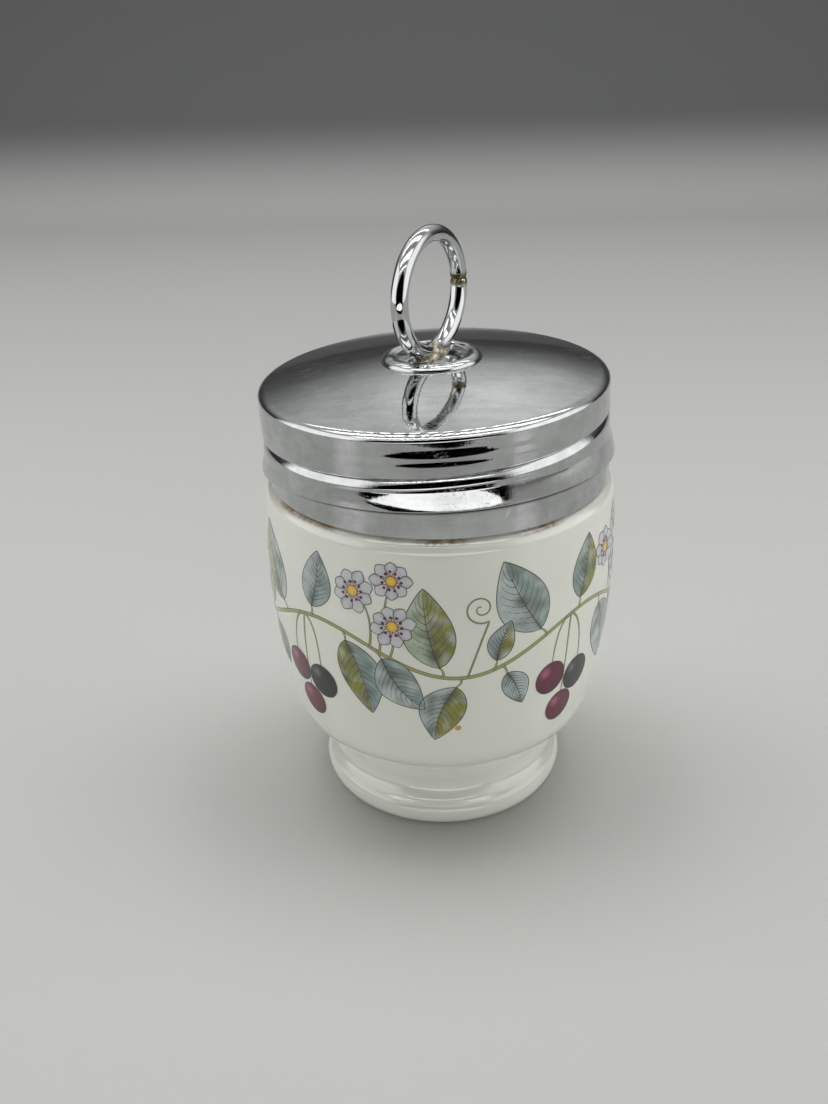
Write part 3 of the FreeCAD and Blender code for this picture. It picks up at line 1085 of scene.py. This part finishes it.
def add_card(name, azimuth, width, near, far, brightness, soft=0.25, oval=False, tubes=(),
             slant=0.0):
    """A card that only reflections see, from one (distance, height) to another. It turns clear over
    a share of each half of its width. Tubes, as how many there are across and along it, make it a
    lit ceiling. A slant raises its right end and lowers its left one."""
    n = Nodes(name)
    across, level = n.axis("X"), brightness
    for place, count, length in zip((across, n.axis("Y")), tubes, (width, near[0] - far[0])):
        wave = n.math("SINE", n.product(place, 2 * pi * count / abs(length)))
        level = n.product(level, n.ramp(wave, -0.4, 0.6, 0.12, 1))
    n.set(Base_Color=(0, 0, 0), Specular_IOR_Level=0.0, Roughness=1.0, Emission_Color=(1, 1, 0.97),
          Emission_Strength=level,
          Alpha=n.ramp(n.math("ABSOLUTE", across), width / 2 * (1 - soft), width / 2, 1, 0))
    outline = [(1, 1), (-1, 1), (-1, -1), (1, -1)]
    if oval:
        outline = [(x, copysign(abs(y) ** 1.5, y)) for x, y in circle((0, 0), 1, 64)[1:]]
    corners = []
    for side, share in outline:
        out, up = (a + (b - a) * (1 + share) / 2 for a, b in zip(near, far))
        corners.append((side * width / 2, -out, up + slant * side))
    card = add_mesh(name, corners, [range(len(corners))], n.owner)
    card.rotation_euler.z = camera_azimuth + radians(azimuth) + pi / 2
    card.visible_camera = card.visible_diffuse = card.visible_shadow = False


def add_world():
    """A dim room that brightens with height, and a soft bright patch behind and above."""
    n = Nodes("studio", "worlds", "Background", "Generated")
    bpy.context.scene.world = n.owner

    def by_angle(source, measure, levels, tint):
        """A brightness that goes by the sine or cosine of an angle."""
        ramp = n.add("ValToRGB")
        n.feed(ramp.inputs[0], source)
        elements = ramp.color_ramp.elements
        for i, (angle, level) in enumerate(levels):
            position = measure(radians(angle))
            element = elements[i] if i < 2 else elements.new(position)
            element.position = position
            element.color = (*(level * share for share in tint), 1)
        return ramp.outputs["Color"]

    room = by_angle(n.axis("Z"), sin, room_levels, (1, 1.005, 0.995))
    middle = towards(180 - glow_azimuth, glow_elevation, 1)
    off_middle = n.vector("DOT_PRODUCT", n.place, middle)["Value"]
    glow = by_angle(off_middle, cos, glow_levels, (1, 1, 0.98))
    on_matt = n.add("LightPath").outputs["Is Diffuse Ray"]
    n.set(Color=n.vector("ADD", room, glow)["Vector"],
          Strength=n.ramp(on_matt, 0, 1, 1, room_fill))


def add_lights():
    """The room, the lights on the object, and the cards that its chrome and glaze reflect."""
    add_world()
    add_panel("ceiling", 180, 80, 1.1, (0.6, 0.5), 5.4)
    for side, sign in (("left", -1), ("right", 1)):
        add_panel("ceiling_" + side, 105 * sign, 68, 1.1, (0.5, 0.5), 3.3)
        add_panel(side, 95 * sign, 11, 0.9, (0.7, 0.3), 2.8)
        add_card(side + "_window", 76 * sign, 0.58, (0.36, 0.06), (0.36, 0.4), 1.7, 0.5)
        add_card(side + "_table_patch", 54 * sign, 0.1, (0.12, 0.0008), (0.32, 0.0008), 0.75, 0.8)
    add_panel("front", 12, 12, 1.0, (0.8, 0.3), 2.5)
    add_panel("back_left", -135, 45, 1.1, (0.8, 0.6), 0.6)
    add_card("dark_table", 0, 0.66, (0.26, 0.0005), (0.36, 0.0005), 0.0, oval=True)
    # Cards at nearly the same distance cross unless they also stand at nearly the same azimuth.
    add_card("white_front", -3, 0.66, (0.36, -0.11), (0.36, 0.076), 1.9, 0.12, oval=True,
             slant=0.018)
    add_card("dark_low", -2, 0.94, (0.39, -0.17), (0.39, 0.14), 0.0, oval=True, slant=0.025)
    add_card("dark_front", -1, 0.74, (0.41, -0.06), (0.41, 0.43), 0.0, oval=True)
    add_card("ceiling_tubes", -4, 0.76, (-0.32, 0.5), (0.42, 0.5), 6.5, 0.3, tubes=(30, 3))


def add_camera():
    data = bpy.data.cameras.new("camera")
    data.sensor_fit = "VERTICAL"
    data.sensor_height = camera_sensor
    data.lens = camera_lens
    camera = add_object("camera", data)
    place = (camera_side * camera_distance + Vector((0, 0, camera_height))) * MM
    target = (Vector((0, 0, aim_height)) - camera_right * aim_shift) * MM
    camera.matrix_world = facing(place, target) @ Matrix.Rotation(camera_roll, 4, "Z")
    bpy.context.scene.camera = camera


# ---- the scene

bpy.context.scene.view_settings.view_transform = "Standard"
add_camera()
add_sweep()
add_lights()
make_cup(porcelain())
make_garland()
make_cap(chrome("chromed_cap", cap=True))
make_plate(chrome("chromed_plate"))
make_solder(solder_metal())
seam = (ring_radius * cos(joint_angle), 0, ring_centre_height + ring_radius * sin(joint_angle))
make_ring(chrome("chromed_ring", burnt=with_ring_lean([seam])[0]))
seal_finish = rubber()
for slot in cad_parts["lid_seal"].material_slots:
    slot.material = seal_finish
